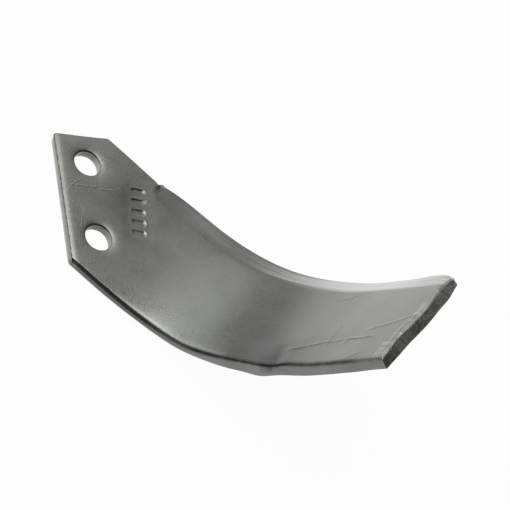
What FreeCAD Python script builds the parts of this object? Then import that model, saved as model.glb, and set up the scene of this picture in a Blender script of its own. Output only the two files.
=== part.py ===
import FreeCAD, Part
import math
import os
import Sketcher

# Rotary tiller blade: one piece of flat spring steel bar, sheared, punched, forged and bent.
# The origin is the middle of the bolt holes on the mounting face. The mounting end lies in the
# XY plane, with its holes in line along Y, and the blade bends up towards +Z.

document = FreeCAD.newDocument("TillerBlade")

# Driving dimensions, in millimetres and degrees.
# Places along the bar are measured on its flat middle line, from the middle of the holes.
dimensions = {
    "bar_width": 80,
    "bar_thickness": 7,
    "rolled_round": 2.4,          # corners of the bar's long edges, as rolled
    "bar_angle": 43.8,            # how far the bar runs down from the X axis
    "bar_offset": 0.4,            # middle line of the bar from the middle of the holes
    "hole_pitch": 47,
    "hole_diameter": 15.5,
    "hole_roll": 0.5,             # rounding where the punch went in
    "hole_break": 0.8,            # chamfer where it broke out, on the mounting face
    "side_margin": 17.5,          # hole line to the long sheared edge
    "top_margin": 17.6,           # upper hole to the short sheared edge
    "corner_round": 2.5,
    "shear_roll": 0.8,            # rounding where the shear blade went in
    "bevel_start": 18,
    "bevel_depth": 8.8,           # width of the bevel on the bar's own face
    "cut_thickness": 3.2,
    "cut_round": 0.8,
    "spread_at_start": 5.2,       # metal forged out past the bar's edge
    "spread": 7.8,
    "spread_run": 8,              # how quickly the spread grows along the blade
    "bend_after_bevel": 9,        # start of the bend from the start of the bevel
    "bend_length": 157,
    "bend_angle": 60.5,
    "fold_slant": 6,              # fold lines against the bar's square section
    "tip_reach": 219.4,
    "tip_slant": 3.9,
    "mark_length": 8,
    "mark_width": 2.4,
    "mark_sink": 0.4,
    "mark_spacing": 6.8,
    "mark_count": 5,
    "mark_across": 28.5,          # middle of the first stamped mark
    "mark_up": 8.5,
    "mark_lean": 7,               # the row of marks against the Y axis
}

sizes = document.addObject("Spreadsheet::Sheet", "Sizes")
for row, (alias, number) in enumerate(dimensions.items(), 1):
    sizes.set(f"A{row}", alias)
    sizes.set(f"B{row}", str(number))
    sizes.setAlias(f"B{row}", alias)

# Each row of this table is one section along a fold line: its run along the flat bar, how far the
# bend has turned there, its middle point in space and how far the cutting edge is spread.
stations = document.addObject("Spreadsheet::Sheet", "Stations")
columns = {"along": "A", "turn": "B", "across": "C", "up": "D", "rise": "E", "spread": "F"}
bendStart = "(Sizes.bevel_start + Sizes.bend_after_bevel)"
foldAngle = "(Sizes.bar_angle + Sizes.fold_slant)"


def fill(name, number, formula):
    cell = f"{columns[name]}{number + 1}"
    stations.set(cell, "=" + formula)
    stations.setAlias(cell, f"{name}_{number}")


def addStation(number, share):
    """Adds a section at a share of the way from the start of the bend to the tip."""
    fill("along", number, f"{bendStart} + (Sizes.tip_reach - {bendStart}) * {share:.4f}")
    bent = f"min(1; (along_{number} - {bendStart}) / Sizes.bend_length)"
    fill("turn", number, f"Sizes.bend_angle * (1 - cos(180 * {bent})) / 2")
    fade = f"exp(({bendStart} - along_{number}) / Sizes.spread_run)"
    fill("spread", number, f"Sizes.spread - (Sizes.spread - Sizes.spread_at_start) * {fade}")
    if number == 0:
        fill("across", 0, "along_0 * cos(Sizes.bar_angle) + Sizes.bar_offset * sin(Sizes.bar_angle)")
        fill("up", 0, "Sizes.bar_offset * cos(Sizes.bar_angle) - along_0 * sin(Sizes.bar_angle)")
        fill("rise", 0, "Sizes.bar_thickness / 2")
        return
    last = number - 1
    step = f"(along_{number} - along_{last})"
    lean = f"((turn_{number} + turn_{last}) / 2)"
    ahead = f"{step} * cos(Sizes.fold_slant) * cos({lean})"
    aside = f"{step} * sin(Sizes.fold_slant)"
    fill("across", number, f"across_{last} + {ahead} * cos({foldAngle}) + {aside} * sin({foldAngle})")
    fill("up", number, f"up_{last} - {ahead} * sin({foldAngle}) + {aside} * cos({foldAngle})")
    fill("rise", number, f"rise_{last} + {step} * cos(Sizes.fold_slant) * sin({lean})")


bendSections = 13
crowding = 1.3                    # above 1, the sections stand closer where the bend starts
for number in range(bendSections + 1):
    addStation(number, (number / bendSections) ** crowding)
document.recompute()

body = document.addObject("PartDesign::Body", "Body")
body.Label = "tiller_blade"
ground = next(plane for plane in body.Origin.OriginFeatures if plane.Role == "XY_Plane")
originPoint = (-1, 1)             # a sketch's own origin, as its constraints name it


def newSketch(name, place=None):
    sketch = body.newObject("Sketcher::SketchObject", name)
    sketch.AttachmentSupport = [(ground, "")]
    sketch.MapMode = "FlatFace"
    if place:
        sketch.setExpression("AttachmentOffset", f"placement({place})")
    return sketch


def hold(sketch, kind, places, formula):
    """Adds a dimension that follows the sheet."""
    sketch.addConstraint(Sketcher.Constraint(kind, *places, float(sketch.evalExpression(formula))))
    sketch.setExpression(f"Constraints[{sketch.ConstraintCount - 1}]", formula)


def holdPoint(sketch, edge, end, x, y):
    """Holds one end of an edge at a place; x and y are formulas, and None leaves one free."""
    for kind, formula in (("DistanceX", x), ("DistanceY", y)):
        if formula:
            hold(sketch, kind, (*originPoint, edge, end), formula)


def holdStraight(sketch, level, upright):
    for edge in level:
        sketch.addConstraint(Sketcher.Constraint("Horizontal", edge))
    for edge in upright:
        sketch.addConstraint(Sketcher.Constraint("Vertical", edge))


def addLine(sketch, x1, y1, x2, y2):
    return sketch.addGeometry(Part.LineSegment(FreeCAD.Vector(x1, y1, 0), FreeCAD.Vector(x2, y2, 0)))


def addArc(sketch, x, y, radius, first, last):
    circle = Part.Circle(FreeCAD.Vector(x, y, 0), FreeCAD.Vector(0, 0, 1), radius)
    return sketch.addGeometry(Part.ArcOfCircle(circle, math.radians(first), math.radians(last)))


def joinRound(sketch, edges, sharp=()):
    """Joins each edge's end to the next one's start, tangent except after the edges named as sharp."""
    for edge, after in zip(edges, edges[1:] + edges[:1]):
        kind = "Coincident" if edge in sharp else "Tangent"
        sketch.addConstraint(Sketcher.Constraint(kind, edge, 2, after, 1))


def addSection(name, station, run=None, bevelled=True):
    """Section along a fold line: x runs to the cutting edge, y to the face that bends up."""
    slant = "Sizes.tip_slant" if station == bendSections else "Sizes.fold_slant"
    spot = [f"Stations.{column}_{station}" for column in ("across", "up", "rise")]
    if run:
        spot[0] += f" - {run} * cos(Sizes.bar_angle)"
        spot[1] += f" + {run} * sin(Sizes.bar_angle)"
    sketch = newSketch(name, f"vector({'; '.join(spot)});"
                             f" rotation(90 - Sizes.bar_angle - {slant}; 0; 90 - Stations.turn_{station})")
    face = "Sizes.bar_thickness / 2"
    rolledEdge = f"Sizes.bar_width / (2 * cos({slant}))"
    cutEdge = f"(Sizes.bar_width / 2 + Stations.spread_{station}) / cos({slant})"
    bevelTop = f"(Sizes.bar_width / 2 - Sizes.bevel_depth) / cos({slant})"
    cutTop = f"Sizes.cut_thickness - {face}"
    cutRound = "Sizes.cut_round"
    if not bevelled:
        cutEdge = rolledEdge
        cutRound = "Sizes.rolled_round"
        cutTop = f"{face} - {cutRound}"
        bevelTop = f"{cutEdge} - {cutRound}"

    half, left, right, land, inner, corner, nose = (
        sketch.evalExpression(formula)
        for formula in (face, rolledEdge, cutEdge, cutTop, bevelTop, "Sizes.rolled_round", cutRound))
    slope = math.degrees(math.atan2(half - land, right - inner)) if bevelled else 0
    back = addLine(sketch, corner - left, -half, right - nose, -half)
    backNose = addArc(sketch, right - nose, nose - half, nose, -90, 0)
    cut = addLine(sketch, right, nose - half, right, land)
    frontNose = addArc(sketch, right - nose, land, nose, 0, 90 - slope)
    bevel = [addLine(sketch, right - nose, land + nose, inner, half)] if bevelled else []
    front = addLine(sketch, inner, half, corner - left, half)
    frontCorner = addArc(sketch, corner - left, half - corner, corner, 90, 180)
    rolled = addLine(sketch, -left, half - corner, -left, corner - half)
    backCorner = addArc(sketch, corner - left, corner - half, corner, 180, 270)
    outline = [back, backNose, cut, frontNose, *bevel, front, frontCorner, rolled, backCorner]
    joinRound(sketch, outline, sharp=bevel)
    holdStraight(sketch, (back, front), (cut, rolled))
    for edge in (backNose, frontNose):
        hold(sketch, "Radius", (edge,), cutRound)
    for edge in (frontCorner, backCorner):
        hold(sketch, "Radius", (edge,), "Sizes.rolled_round")
    holdPoint(sketch, back, 1, None, f"-({face})")
    holdPoint(sketch, rolled, 1, f"-({rolledEdge})", None)
    holdPoint(sketch, cut, 1, cutEdge, None)
    holdPoint(sketch, front, 2, None, face)
    if bevelled:
        holdPoint(sketch, cut, 2, None, cutTop)
        holdPoint(sketch, front, 1, bevelTop, None)
    return sketch


def addFeature(kind, name, **settings):
    feature = body.newObject(f"PartDesign::{kind}", name)
    for prop, setting in settings.items():
        setattr(feature, prop, setting)
    return feature


def extrudeBack(name, section, length):
    """Extrudes a section along the bar, away from the blade."""
    pad = addFeature("Pad", name, Profile=section, UseCustomVector=True, AlongSketchNormal=False)
    pad.setExpression("Direction.x", "-cos(Sizes.bar_angle)")
    pad.setExpression("Direction.y", "sin(Sizes.bar_angle)")
    pad.setExpression("Direction.z", "0")
    pad.setExpression("Length", length)
    document.recompute()


def cutAway(name, sketch, depth=None):
    """Cuts a sketch through everything, or to a depth below its own plane."""
    before = body.Shape.Volume
    pocket = addFeature("Pocket", name, Profile=sketch)
    if depth:
        pocket.setExpression("Length", depth)
    else:
        pocket.Type = "ThroughAll"
        pocket.Midplane = True
    document.recompute()
    if body.Shape.Volume >= before:
        raise RuntimeError(f"{name} cuts nothing")
    return pocket


# The bar is plain up to the start of the bevel. From there one long edge is forged thin and wide,
# and a little further on the bend starts.
plain = addSection("PlainSection", 0, "Sizes.bend_after_bevel", bevelled=False)
bladeSections = [addSection(f"BladeSection{station}", station) for station in range(bendSections + 1)]
pastHoles = "Sizes.side_margin + Sizes.hole_pitch / 2 + Sizes.top_margin"
extrudeBack("PlainBar", plain, f"Sizes.bevel_start + {pastHoles}")
extrudeBack("BevelStart", bladeSections[0], "Sizes.bend_after_bevel")
addFeature("AdditiveLoft", "Blade", Profile=bladeSections[0], Sections=bladeSections[1:])
document.recompute()

# The mounting end is sheared along one long side and one short side, square to each other.
shears = newSketch("Shears")
far = "2 * Sizes.bar_width"
side = "-Sizes.side_margin"
top = "Sizes.hole_pitch / 2 + Sizes.top_margin"
sideAt, topAt, farAt, corner = (
    shears.evalExpression(formula) for formula in (side, top, far, "Sizes.corner_round"))
longShear = addLine(shears, sideAt, topAt - corner, sideAt, -farAt)
below = addLine(shears, sideAt, -farAt, -farAt, -farAt)
behind = addLine(shears, -farAt, -farAt, -farAt, farAt)
above = addLine(shears, -farAt, farAt, farAt, farAt)
ahead = addLine(shears, farAt, farAt, farAt, topAt)
shortShear = addLine(shears, farAt, topAt, sideAt + corner, topAt)
shearCorner = addArc(shears, sideAt + corner, topAt - corner, corner, 90, 180)
joinRound(shears, [longShear, below, behind, above, ahead, shortShear, shearCorner],
          sharp=(longShear, below, behind, above, ahead))
holdStraight(shears, (below, above, shortShear), (longShear, behind, ahead))
hold(shears, "Radius", (shearCorner,), "Sizes.corner_round")
holdPoint(shears, longShear, 1, side, None)
holdPoint(shears, shortShear, 1, far, top)
holdPoint(shears, above, 1, f"-{far}", far)
holdPoint(shears, below, 2, None, f"-{far}")
cutAway("ShearedEnd", shears)

punches = newSketch("Punches")
holeRadius = punches.evalExpression("Sizes.hole_diameter / 2")
for height in ("Sizes.hole_pitch / 2", "-Sizes.hole_pitch / 2"):
    middle = FreeCAD.Vector(0, punches.evalExpression(height), 0)
    hole = punches.addGeometry(Part.Circle(middle, FreeCAD.Vector(0, 0, 1), holeRadius))
    hold(punches, "Diameter", (hole,), "Sizes.hole_diameter")
    holdPoint(punches, hole, 3, "0", height)
cutAway("BoltHoles", punches)


def findEdges(test):
    return [f"Edge{number}" for number, edge in enumerate(body.Shape.Edges, 1) if test(edge)]


def liesAt(edge, level):
    low, high = edge.BoundBox.ZMin, edge.BoundBox.ZMax
    return abs(low - level) < closeness and abs(high - level) < closeness


def isRim(edge, level):
    aroundHole = abs(edge.Length - 2 * math.pi * holeRadius) < closeness
    return aroundHole and liesAt(edge, level)


def isShearEdge(edge):
    box = edge.BoundBox
    atSide = box.XMax < sideAt + corner + closeness
    atTop = box.YMin > topAt - corner - closeness
    return liesAt(edge, thickness) and (atSide or atTop)


def dress(kind, name, test, setting, formula):
    """Rounds or chamfers the edges of the body that pass a test."""
    feature = body.newObject(f"PartDesign::{kind}", name)
    feature.Base = (feature.BaseFeature, findEdges(test))
    feature.setExpression(setting, formula)
    document.recompute()


# The punch and the shear roll the steel over where they go in, and break it out behind.
closeness = 0.01                  # mm, for finding an edge by its place
thickness = shears.evalExpression("Sizes.bar_thickness")
dress("Fillet", "HoleRoll", lambda edge: isRim(edge, thickness), "Radius", "Sizes.hole_roll")
dress("Chamfer", "HoleBreak", lambda edge: isRim(edge, 0), "Size", "Sizes.hole_break")
dress("Fillet", "ShearRoll", isShearEdge, "Radius", "Sizes.shear_roll")

# A row of plain stamped marks beside the holes.
stamp = newSketch("Stamp", "vector(Sizes.mark_across; Sizes.mark_up; Sizes.bar_thickness + Sizes.mark_sink);"
                           " rotation(-Sizes.mark_lean; 0; 0)")
end = stamp.evalExpression("Sizes.mark_width / 2")
run = stamp.evalExpression("Sizes.mark_length / 2") - end
slot = [
    addLine(stamp, -run, -end, run, -end),
    addArc(stamp, run, 0, end, -90, 90),
    addLine(stamp, run, end, -run, end),
    addArc(stamp, -run, 0, end, 90, 270),
]
joinRound(stamp, slot)
holdStraight(stamp, (slot[0],), ())
hold(stamp, "Radius", (slot[1],), "Sizes.mark_width / 2")
holdPoint(stamp, slot[1], 3, "(Sizes.mark_length - Sizes.mark_width) / 2", "0")
holdPoint(stamp, slot[3], 3, "(Sizes.mark_width - Sizes.mark_length) / 2", None)
mark = cutAway("Mark", stamp, "2 * Sizes.mark_sink")
marks = addFeature("LinearPattern", "Marks", Originals=[mark], Direction=(stamp, ["V_Axis"]), Reversed=True)
marks.setExpression("Length", "Sizes.mark_spacing * (Sizes.mark_count - 1)")
marks.setExpression("Occurrences", "Sizes.mark_count")
body.Tip = marks
document.recompute()

faults = [item.Name for item in document.Objects if {"Invalid", "Error"} & set(item.State)]
if faults or body.Shape.isNull() or not body.Shape.isValid() or len(body.Shape.Solids) != 1:
    raise RuntimeError(f"The blade is not one sound solid: {faults}")
os.makedirs("parts", exist_ok=True)
body.Shape.exportStep(f"parts/{body.Label}.step")
box = body.Shape.BoundBox
print(f"{body.Label}: {body.Shape.Volume:.0f} mm3, valid, one solid")
print(f"{box.XLength:.1f} x {box.YLength:.1f} x {box.ZLength:.1f} mm over all")
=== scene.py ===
import bpy
import numpy as np
from mathutils import Matrix, Vector


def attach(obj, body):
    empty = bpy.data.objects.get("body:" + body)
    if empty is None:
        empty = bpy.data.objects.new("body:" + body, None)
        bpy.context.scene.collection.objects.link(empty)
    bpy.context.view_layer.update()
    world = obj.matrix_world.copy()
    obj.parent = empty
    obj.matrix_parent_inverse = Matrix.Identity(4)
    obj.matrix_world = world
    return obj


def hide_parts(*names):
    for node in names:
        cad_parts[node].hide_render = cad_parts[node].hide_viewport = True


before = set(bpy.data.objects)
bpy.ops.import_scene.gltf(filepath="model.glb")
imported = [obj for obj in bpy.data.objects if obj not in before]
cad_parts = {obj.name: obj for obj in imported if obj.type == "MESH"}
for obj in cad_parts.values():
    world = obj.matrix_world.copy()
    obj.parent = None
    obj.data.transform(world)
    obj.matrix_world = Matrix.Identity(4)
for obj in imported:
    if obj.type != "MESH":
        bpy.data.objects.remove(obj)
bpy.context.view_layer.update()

mm = 0.001

# A rotary tiller blade. Its shape is worked out on the flat bar in millimetres, as it was before
# bending: u runs along the bar from the middle of the bolt holes, v across it towards the cutting
# edge, and w through it, up from the middle of its thickness. The bend comes last.
blade = {
    "width": 80,
    "thickness": 7,
    "rolledCorner": 0.45,  # the bar's long edges bulge, and meet its faces at a blunt corner
    "rolledAngle": (30, 16),  # degrees that the face turns through there, and how many more in the bend
    "squareAngle": 62,  # the same on the plain stretch of the upper edge, which is squarer
    "forgedCorner": 1.0,  # the lower corner where the bend has squared it up
    "forgedAngle": 84,
    "lip": (0.15, 0.9),  # how far the face dips just inside the lower edge, and over how many mm
    "barAngle": 43.8,  # degrees that the bar runs down from the X axis
    "barOffset": 0.4,  # from the origin to the bar's middle line
    "sideMargin": 17.5,  # hole line to the long sheared side
    "topSide": 41.3,  # origin to the short sheared side
    "cornerRound": 1.9,
    "bendStart": 27,
    "bendLength": 157,
    "bendAngle": 60.5,
    "foldSlant": 6,  # degrees that the fold lines lean from square across
    "tipReach": 219.6,
    "tipSlope": 0.05,  # how far the cut runs out, per mm across
    "tipBow": 0.0012,  # how far it bows out, per mm across squared
    "tipInner": (-1.4, ((-2.2, -20, 11),)),  # how far out its inner edge lies, and its swells
    "tipOuter": (-0.55, ((0.9, 4, 12), (1.2, 26, 9), (-0.6, -18, 8), (-0.4, -38, 8))),
    "tipCorner": (4, 3),  # round at the cutting edge's end: mm across the bar and along it
    "tipStep": 3.4,  # how far the cutting edge stands out there
    "tipRound": (0.5, 0.4),  # round along the cut, on the inner face and on the outer one
    "tipSink": 0.5,  # how far the steel was drawn down along the cut
    "crown": 1.8,  # how much the bend has domed the inner face across
    "sag": (1.9, 1.7),  # how far the lower half has sunk past the bend, inside and outside
    "dent": (0.7, (144.5, 5), (-39, 9)),  # depth, then its middle and reach along and across
    "bevelStart": 22,
    "bevelInset": 8,  # from the plain edge to the bevel's inner line
    "bevelSwells": ((-2.9, 38, 15), (1.8, 126, 20)),
    "bevelNose": 6,  # round at the inner corner of the bevel's start
    "bevelShoulder": 3,  # mm over which it turns down from the face
    "stepOut": (20.6, 23.4),  # where the cutting edge steps out from the plain bar
    "cutSwells": ((0.1, 100, 22), (0.7, 128, 22), (-0.7, 168, 13), (0.1, 200, 12)),
    "cutThickness": (3.2, 1.6),  # at the cutting edge, and how much more at the tip
    "cutRound": 0.8,
    "lowSwells": ((0.4, 70, 14), (-0.4, 88, 8), (0.2, 115, 7), (0.6, 130, 18), (-0.8, 137, 8),
                  (1.3, 152, 14)),
    "outerLowSwells": ((-0.6, 88, 14), (-2, 137, 8), (-0.4, 175, 22)),
    "shearRound": 0.6,  # roll-over where the shear went in
    "shearSink": (0.45, 1.3),  # wider sink along the sheared sides, and its reach
    "shearLean": (0.45, 0.006),  # the long sheared side leans in under the face: mm, and more per mm of Y
    "shearFlare": (0.45, 0.3),  # how far the face's corner was drawn out: mm, and more at its upper end
}

holes = {
    "pitch": 47,
    "radius": 7.75,
    "rollOver": 0.9,  # tight round at the rim where the punch went in
    "dish": 0.75,  # shallow sink around it
    "dishReach": 2.3,
    "weaker": 0.6,  # share of both that is missing at the rim's lower left
    "breakOut": 1.2,  # torn rim on the mounting face
    "wallStep": 0.16,  # how far the torn half of the wall stands back from the cut half
    "ring": 11.4,  # where the ring of round rows ends
}

marks = {
    "count": 5,
    "length": 8.6,
    "width": 3,
    "sink": 0.55,
    "spacing": 6.8,
    "across": 28.5,  # middle of the first mark in the plate's own X and Y
    "up": 8.5,
    "lean": 7,  # degrees
    "slope": (-0.8, 0.1),  # where its sides slope, from its rim
    "burr": 0.07,  # steel raised along the mark's rim
    "pull": 0.16,  # how far the face is drawn down around the row
}

halfThick, halfWidth = blade["thickness"] / 2, blade["width"] / 2
lowSide, highSide = blade["barOffset"] - halfWidth, blade["barOffset"] + halfWidth
barTurn = np.radians(blade["barAngle"])
foldTurn = np.radians(blade["barAngle"] + blade["foldSlant"])
foldLean = np.radians(blade["foldSlant"])


# 0 up to low, 1 from high on, and a smooth curve between them
def rise(x, low, high):
    s = np.clip((x - low) / (high - low), 0, 1)
    return s * s * (3 - 2 * s)


# a bell of height 1 at the middle
def bell(x, middle, reach):
    return np.exp(-((x - middle) / reach) ** 2)


# a sum of bells, each with its own height, middle and reach
def swells(x, bells):
    return sum(height * bell(x, middle, reach) for height, middle, reach in bells)


# how far a quarter round has fallen at a distance inside the edge that it rounds
def quarterRound(inside, radius):
    short = np.clip(radius - inside, 0, radius)
    return radius - np.sqrt(radius * radius - short * short)


# the flat bar's u and v as the plate's own X and Y, and back
def plateXY(u, v):
    return u * np.cos(barTurn) + v * np.sin(barTurn), v * np.cos(barTurn) - u * np.sin(barTurn)


def barUV(x, y):
    return x * np.cos(barTurn) - y * np.sin(barTurn), x * np.sin(barTurn) + y * np.cos(barTurn)


holeMiddles = [barUV(0, side * holes["pitch"] / 2) for side in (1, -1)]


# how far the long sheared side stands in from a straight cut: it leans in under the face, and the face
# flares out towards the corner. under is 0 at the face and 1 at the mounting face.
def sideOffset(y, under):
    lean, more = blade["shearLean"]
    flare, upper = blade["shearFlare"]
    return under * (lean + more * y) - (1 - under) * (flare + upper * rise(y, 8, 41))


# u on the sheared end for each v: the further in of two cuts at right angles, with their corner rounded
# by a circle
def shearedEnd(v, w):
    under = (halfThick - w) / blade["thickness"]
    margin, r = blade["sideMargin"], blade["cornerRound"]
    y = (v + margin * np.sin(barTurn)) / np.cos(barTurn)
    side = (sideOffset(y, under) - margin - v * np.sin(barTurn)) / np.cos(barTurn)
    top = (v * np.cos(barTurn) - blade["topSide"]) / np.sin(barTurn)
    atCorner = sideOffset(blade["topSide"] - r, under) - margin
    uRound, vRound = barUV(atCorner + r, blade["topSide"] - r)
    arc = uRound - np.sqrt(np.clip(r * r - (v - vRound) ** 2, 0, None))
    onArc = (v > vRound - r * np.sin(barTurn)) & (v < vRound + r * np.cos(barTurn))
    return np.where(onArc, arc, np.maximum(side, top))


# how far a point lies inside the sheared sides, which are rounded at their corner
def shearDistance(u, v):
    x, y = plateXY(u, v)
    r = blade["cornerRound"]
    left, below = x + blade["sideMargin"] - sideOffset(y, 0), blade["topSide"] - y
    corner = r - np.hypot(np.clip(r - left, 0, None), np.clip(r - below, 0, None))
    return np.where((left < r) & (below < r), corner, np.minimum(left, below))


# u on the cut at the tip: a slightly bowed line, which leans in towards the inner face
def tipEnd(v, w):
    under = (halfThick - w) / blade["thickness"]
    line = blade["tipReach"] + blade["tipSlope"] * v - blade["tipBow"] * v * v
    (innerOut, innerSwells), (outerOut, outerSwells) = blade["tipInner"], blade["tipOuter"]
    inner = innerOut + swells(v, innerSwells) - 1.4 * rise(v, 5, 40)
    outer = outerOut + swells(v, outerSwells)
    across, far = blade["tipCorner"]
    corner = quarterRound(np.clip(highSide + blade["tipStep"] - v, 0, None), across) * far / across
    return line + inner + (outer - inner) * under - corner


# how far the roll-over at the tip reaches in from the cut: most at the lower edge
def tipBand(v):
    return 4.8 - 0.065 * v


# v of the forged cutting edge: plain bar, then a quick step out where the bevel starts, a slower spread
# after it and a run back in at the tip
def cuttingEdge(u):
    spread = 8.5 - 4.4 * np.exp(-np.clip(u - 23, 0, None) / 14) + swells(u, blade["cutSwells"])
    spread = spread - 1.2 * rise(u, 200, 209) - 4.4 * rise(u, 207, 220)
    plain = 0.7 * (1 - rise(u, 18, 22))
    return highSide + plain + spread * rise(u, *blade["stepOut"])


# where along the bar the lower half has sunk, just past the bend
def sagShare(u):
    return rise(u, 128, 166) * (1 - rise(u, 166, 194))


# v of the other long edge, at the corner of the inner face and of the outer face: the plain bar's edge
# with swells, drawn in through the bend and where the lower half has sunk
def lowerEdge(u, outer):
    if outer:
        line = lowSide - 1 + swells(u, blade["outerLowSwells"]) + 2.5 * sagShare(u)
        line = line + 0.3 * rise(u, 40, 80) + 1.3 * rise(u, 95, 125)
        return line - 1.2 * rise(u, 140, 166) + 0.6 * rise(u, 194, 208)
    line = lowSide - 1.6 + swells(u, blade["lowSwells"]) + 1.3 * rise(u, 30, 62)
    line = line + 0.3 * rise(u, 148, 162) - 0.3 * rise(u, 165, 180)
    squeezed = 1.7 * rise(u, 92, 118) * (1 - 0.6 * rise(u, 180, 214))
    jagged = (0.1 * np.sin(0.55 * u) + 0.06 * np.sin(1.27 * u + 1)) * rise(u, 110, 140)
    return line + squeezed + jagged + 1.7 * sagShare(u)


# how thick the steel is left at the cutting edge: more where the bevel runs out at the tip
def cutThickness(u):
    edge, more = blade["cutThickness"]
    return edge + more * rise(u, 188, 216)


# Half the profile of a long edge: a small arc at the corner of the face, then a larger one to the
# middle of the edge. Gives both radii, the turn at which they meet, and the half's height and reach.
# side is 1 at the cutting edge and -1 at the lower one.
def edgeShape(u, side):
    forged = rise(u, *blade["stepOut"]) if side > 0 else rise(u, 98, 125)
    forgedCorner = blade["cutRound"] if side > 0 else blade["forgedCorner"]
    height = halfThick + (cutThickness(u) / 2 - halfThick) * forged * (side > 0)
    corner = blade["rolledCorner"] + (forgedCorner - blade["rolledCorner"]) * forged
    rolled, more = blade["rolledAngle"]
    plainAngle = blade["squareAngle"] if side > 0 else rolled + more * rise(u, 40, 85)
    meet = np.radians(plainAngle + (blade["forgedAngle"] - plainAngle) * forged)
    large = (height - corner * (1 - np.cos(meet))) / np.cos(meet)
    return corner, large, meet, height, corner * np.sin(meet) + large * (1 - np.sin(meet))


# how far that profile reaches in from the edge, to where the face ends
def edgeReach(u, side):
    return edgeShape(u, side)[-1]


# the inner line of the bevel
def bevelLine(u):
    lifted = 0.8 * rise(u, 90, 108) * (1 - rise(u, 170, 192))
    return highSide - blade["bevelInset"] + swells(u, blade["bevelSwells"]) - 1.6 * rise(u, 115, 165) + lifted


# how far the bevel has sunk: from nothing at its inner line, over a soft shoulder, evenly to the full
# drop at the cutting edge. It starts behind a wall that turns a rounded nose.
def bevelDrop(u, v):
    line, r = bevelLine(u), blade["bevelNose"]
    soft, across = blade["bevelShoulder"], cuttingEdge(u) - line
    inside = np.clip(v - line, 0, across)
    share = np.where(inside < soft, inside * inside / (2 * soft), inside - soft / 2) / (across - soft / 2)
    insideLine = np.clip(line + r - v, 0, r)
    wall = blade["bevelStart"] + r - np.sqrt(r * r - insideLine * insideLine)
    return (blade["thickness"] - cutThickness(u)) * share * rise(u, wall - 1.2, wall + 2.6)


# how far the punch pulled the face down around the holes: a wide dish and a tight round at the rim
def holeDrop(u, v):
    drop = 0
    for uHole, vHole in holeMiddles:
        x, y = plateXY(u - uHole, v - vHole)
        middleGap = np.hypot(x, y)
        gap = np.clip(middleGap - holes["radius"], 0, None)
        kept = 1 - holes["weaker"] * rise(-(x + y) / np.maximum(middleGap, 1), 0, 1.4)
        drop = drop + kept * holes["dish"] * np.exp(-gap / holes["dishReach"])
        drop = drop + kept * quarterRound(gap, holes["rollOver"])
    return drop


# how far a point lies outside the nearest of the plain marks, and outside the whole row
def markGaps(u, v):
    x, y = plateXY(u, v)
    lean = np.radians(marks["lean"])
    long = (x - marks["across"]) * np.cos(lean) - (y - marks["up"]) * np.sin(lean)
    down = -(x - marks["across"]) * np.sin(lean) - (y - marks["up"]) * np.cos(lean)
    nearest = np.clip(np.round(down / marks["spacing"]), 0, marks["count"] - 1)
    beyond = np.clip(np.abs(long) - (marks["length"] - marks["width"]) / 2, 0, None)
    gap = np.hypot(beyond, down - nearest * marks["spacing"]) - marks["width"] / 2
    halfRow = (marks["count"] - 1) * marks["spacing"] / 2
    return gap, np.hypot(beyond, np.clip(np.abs(down - halfRow) - halfRow, 0, None))


# how far the marks are sunk: flat-bottomed slots with sloping sides and a slight burr
def markDrop(u, v):
    gap, around = markGaps(u, v)
    drop = marks["sink"] * (1 - rise(gap, *marks["slope"])) - marks["burr"] * bell(gap, 0.5, 0.4)
    return drop + marks["pull"] * (1 - rise(around, 0, 9))


# Marks of making and use on the inner face: the width of a line, its height, and the places that it
# runs through on the flat bar. Wrinkles are folds that the forging raised.
wrinkles = {
    "long": (1.6, 0.2, (148.9, -24.3), (160, -20.6), (169.4, -19), (181.1, -18.1), (198, -18)),
    "upright": (1.2, 0.09, (171.2, -22.2), (171.2, -12.8), (170.9, -2.9)),
    "branch": (1.3, 0.15, (181.7, -22), (183.8, -18.5), (196.5, -17.1)),
    "slanting": (1.7, 0.16, (191.3, -10.3), (200.5, -7.3), (207.9, -3.5), (215.5, 0.9)),
    "low": (1.3, 0.1, (190.2, -36.7), (194.2, -34.4), (198.8, -32.2)),
    "belowShoulder": (1.4, 0.08, (152.6, 22.8), (158.1, 24.8), (164.6, 28.5)),
    "dentFold": (6, -0.22, (145, -24), (146, -29), (146.5, -38)),  # this one is pressed in
}

# Scratches have thrown up a thin burr, which is laid on the face as a strip of its own.
scratches = {
    "fromLowerLeft": (1.1, 0.09, (-14.1, -7.3), (-14.4, -1.8), (-13.4, 2.8), (-12, 8)),
    "acrossPlate": (1.2, 0.12, (-16, -3.4), (-14.4, -1.8), (-9.1, 3), (-3.6, 7.6), (0.4, 10.4), (3.8, 14),
                    (6.4, 16.6)),
    "hook": (1.1, 0.1, (4.1, 16.7), (6.7, 18.3), (8, 17)),
    "aboveLowerHole": (1, 0.11, (0.2, -9.9), (2, -14.5), (6, -19.4)),
    "besideLowerHole": (1, 0.11, (-3.5, -8.6), (0.2, -9.9), (2.4, -12.2)),
    "shortOne": (0.9, 0.1, (-1.6, -7.3), (1.2, -10.6)),
    "shortTwo": (0.9, 0.1, (3.4, -13.4), (5.4, -15.2), (6.8, -18.1)),
    "belowBevel": (0.6, 0.05, (46.7, 28.7), (51.9, 28.6), (56.8, 29.1)),
    "inTheBend": (0.6, 0.05, (91.3, 18.5), (95.3, 18.6), (102.8, 16.9)),
    "alongTheCut": (0.7, 0.06, (206.6, -37.4), (208, -22), (209.5, -6.7), (210.9, 9), (212.8, 21.2)),
    "nearerTheCut": (0.6, 0.06, (211.1, -38.5), (212.1, -21.6), (213.2, -4.3)),
    "besideUpright": (0.6, 0.05, (173.8, -21), (173.4, -12.1), (172.3, -3)),
}


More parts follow.
